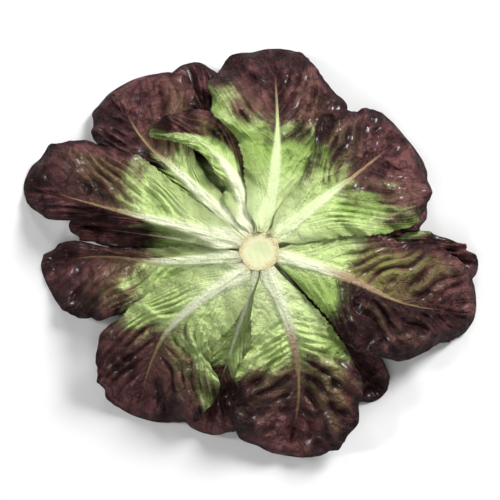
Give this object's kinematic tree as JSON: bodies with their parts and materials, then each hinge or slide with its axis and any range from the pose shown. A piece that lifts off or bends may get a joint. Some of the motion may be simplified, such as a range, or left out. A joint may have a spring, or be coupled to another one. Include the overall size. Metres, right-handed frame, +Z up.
{
  "type": "leaf lettuce",
  "caption": "Head of red leaf lettuce lying crown down with its cut stem up: ribbed, wavy-edged leaves spread round the stem over a rosette of heart leaves.",
  "frame": {"origin": "on the surface the head rests on, under the middle of its bounding box", "axes": "+Z up, along the stem towards its cut face; +X to the right and +Y to the top of the picture, which looks straight down"},
  "size_m": [0.2772, 0.249, 0.072],
  "materials": {
    "outer_leaf": "waxy satin leaf, green at the rib and purple-brown at the margin",
    "heart_leaf": "waxy satin leaf, light green with a purple-brown margin",
    "stem": "moist matt cut flesh"
  },
  "bodies": {
    "root": {"stem": "stem", "leaf_heart_1_1": "heart_leaf", "leaf_heart_1_2": "heart_leaf", "leaf_heart_1_3": "heart_leaf", "leaf_heart_1_4": "heart_leaf", "leaf_heart_2_1": "heart_leaf", "leaf_heart_2_2": "heart_leaf", "leaf_heart_2_3": "heart_leaf", "leaf_heart_2_4": "heart_leaf", "leaf_heart_3_1": "heart_leaf", "leaf_heart_3_2": "heart_leaf", "leaf_heart_3_3": "heart_leaf", "leaf_heart_4_1": "heart_leaf", "leaf_heart_4_2": "heart_leaf", "leaf_heart_4_3": "heart_leaf", "leaf_heart_5_1": "heart_leaf", "leaf_heart_5_2": "heart_leaf", "leaf_under_top": "outer_leaf", "leaf_under_left": "outer_leaf", "leaf_under_lower_right": "outer_leaf", "leaf_under_right": "outer_leaf", "leaf_under_upper_right": "outer_leaf", "leaf_under_bottom": "outer_leaf", "leaf_upper_left": "outer_leaf", "leaf_left": "outer_leaf", "leaf_bottom": "outer_leaf", "leaf_top_left": "outer_leaf", "leaf_right": "outer_leaf", "leaf_top": "outer_leaf", "leaf_upper_far_left": "outer_leaf", "leaf_lower_left": "outer_leaf", "leaf_upper_right": "outer_leaf"}
  },
  "joints": []
}
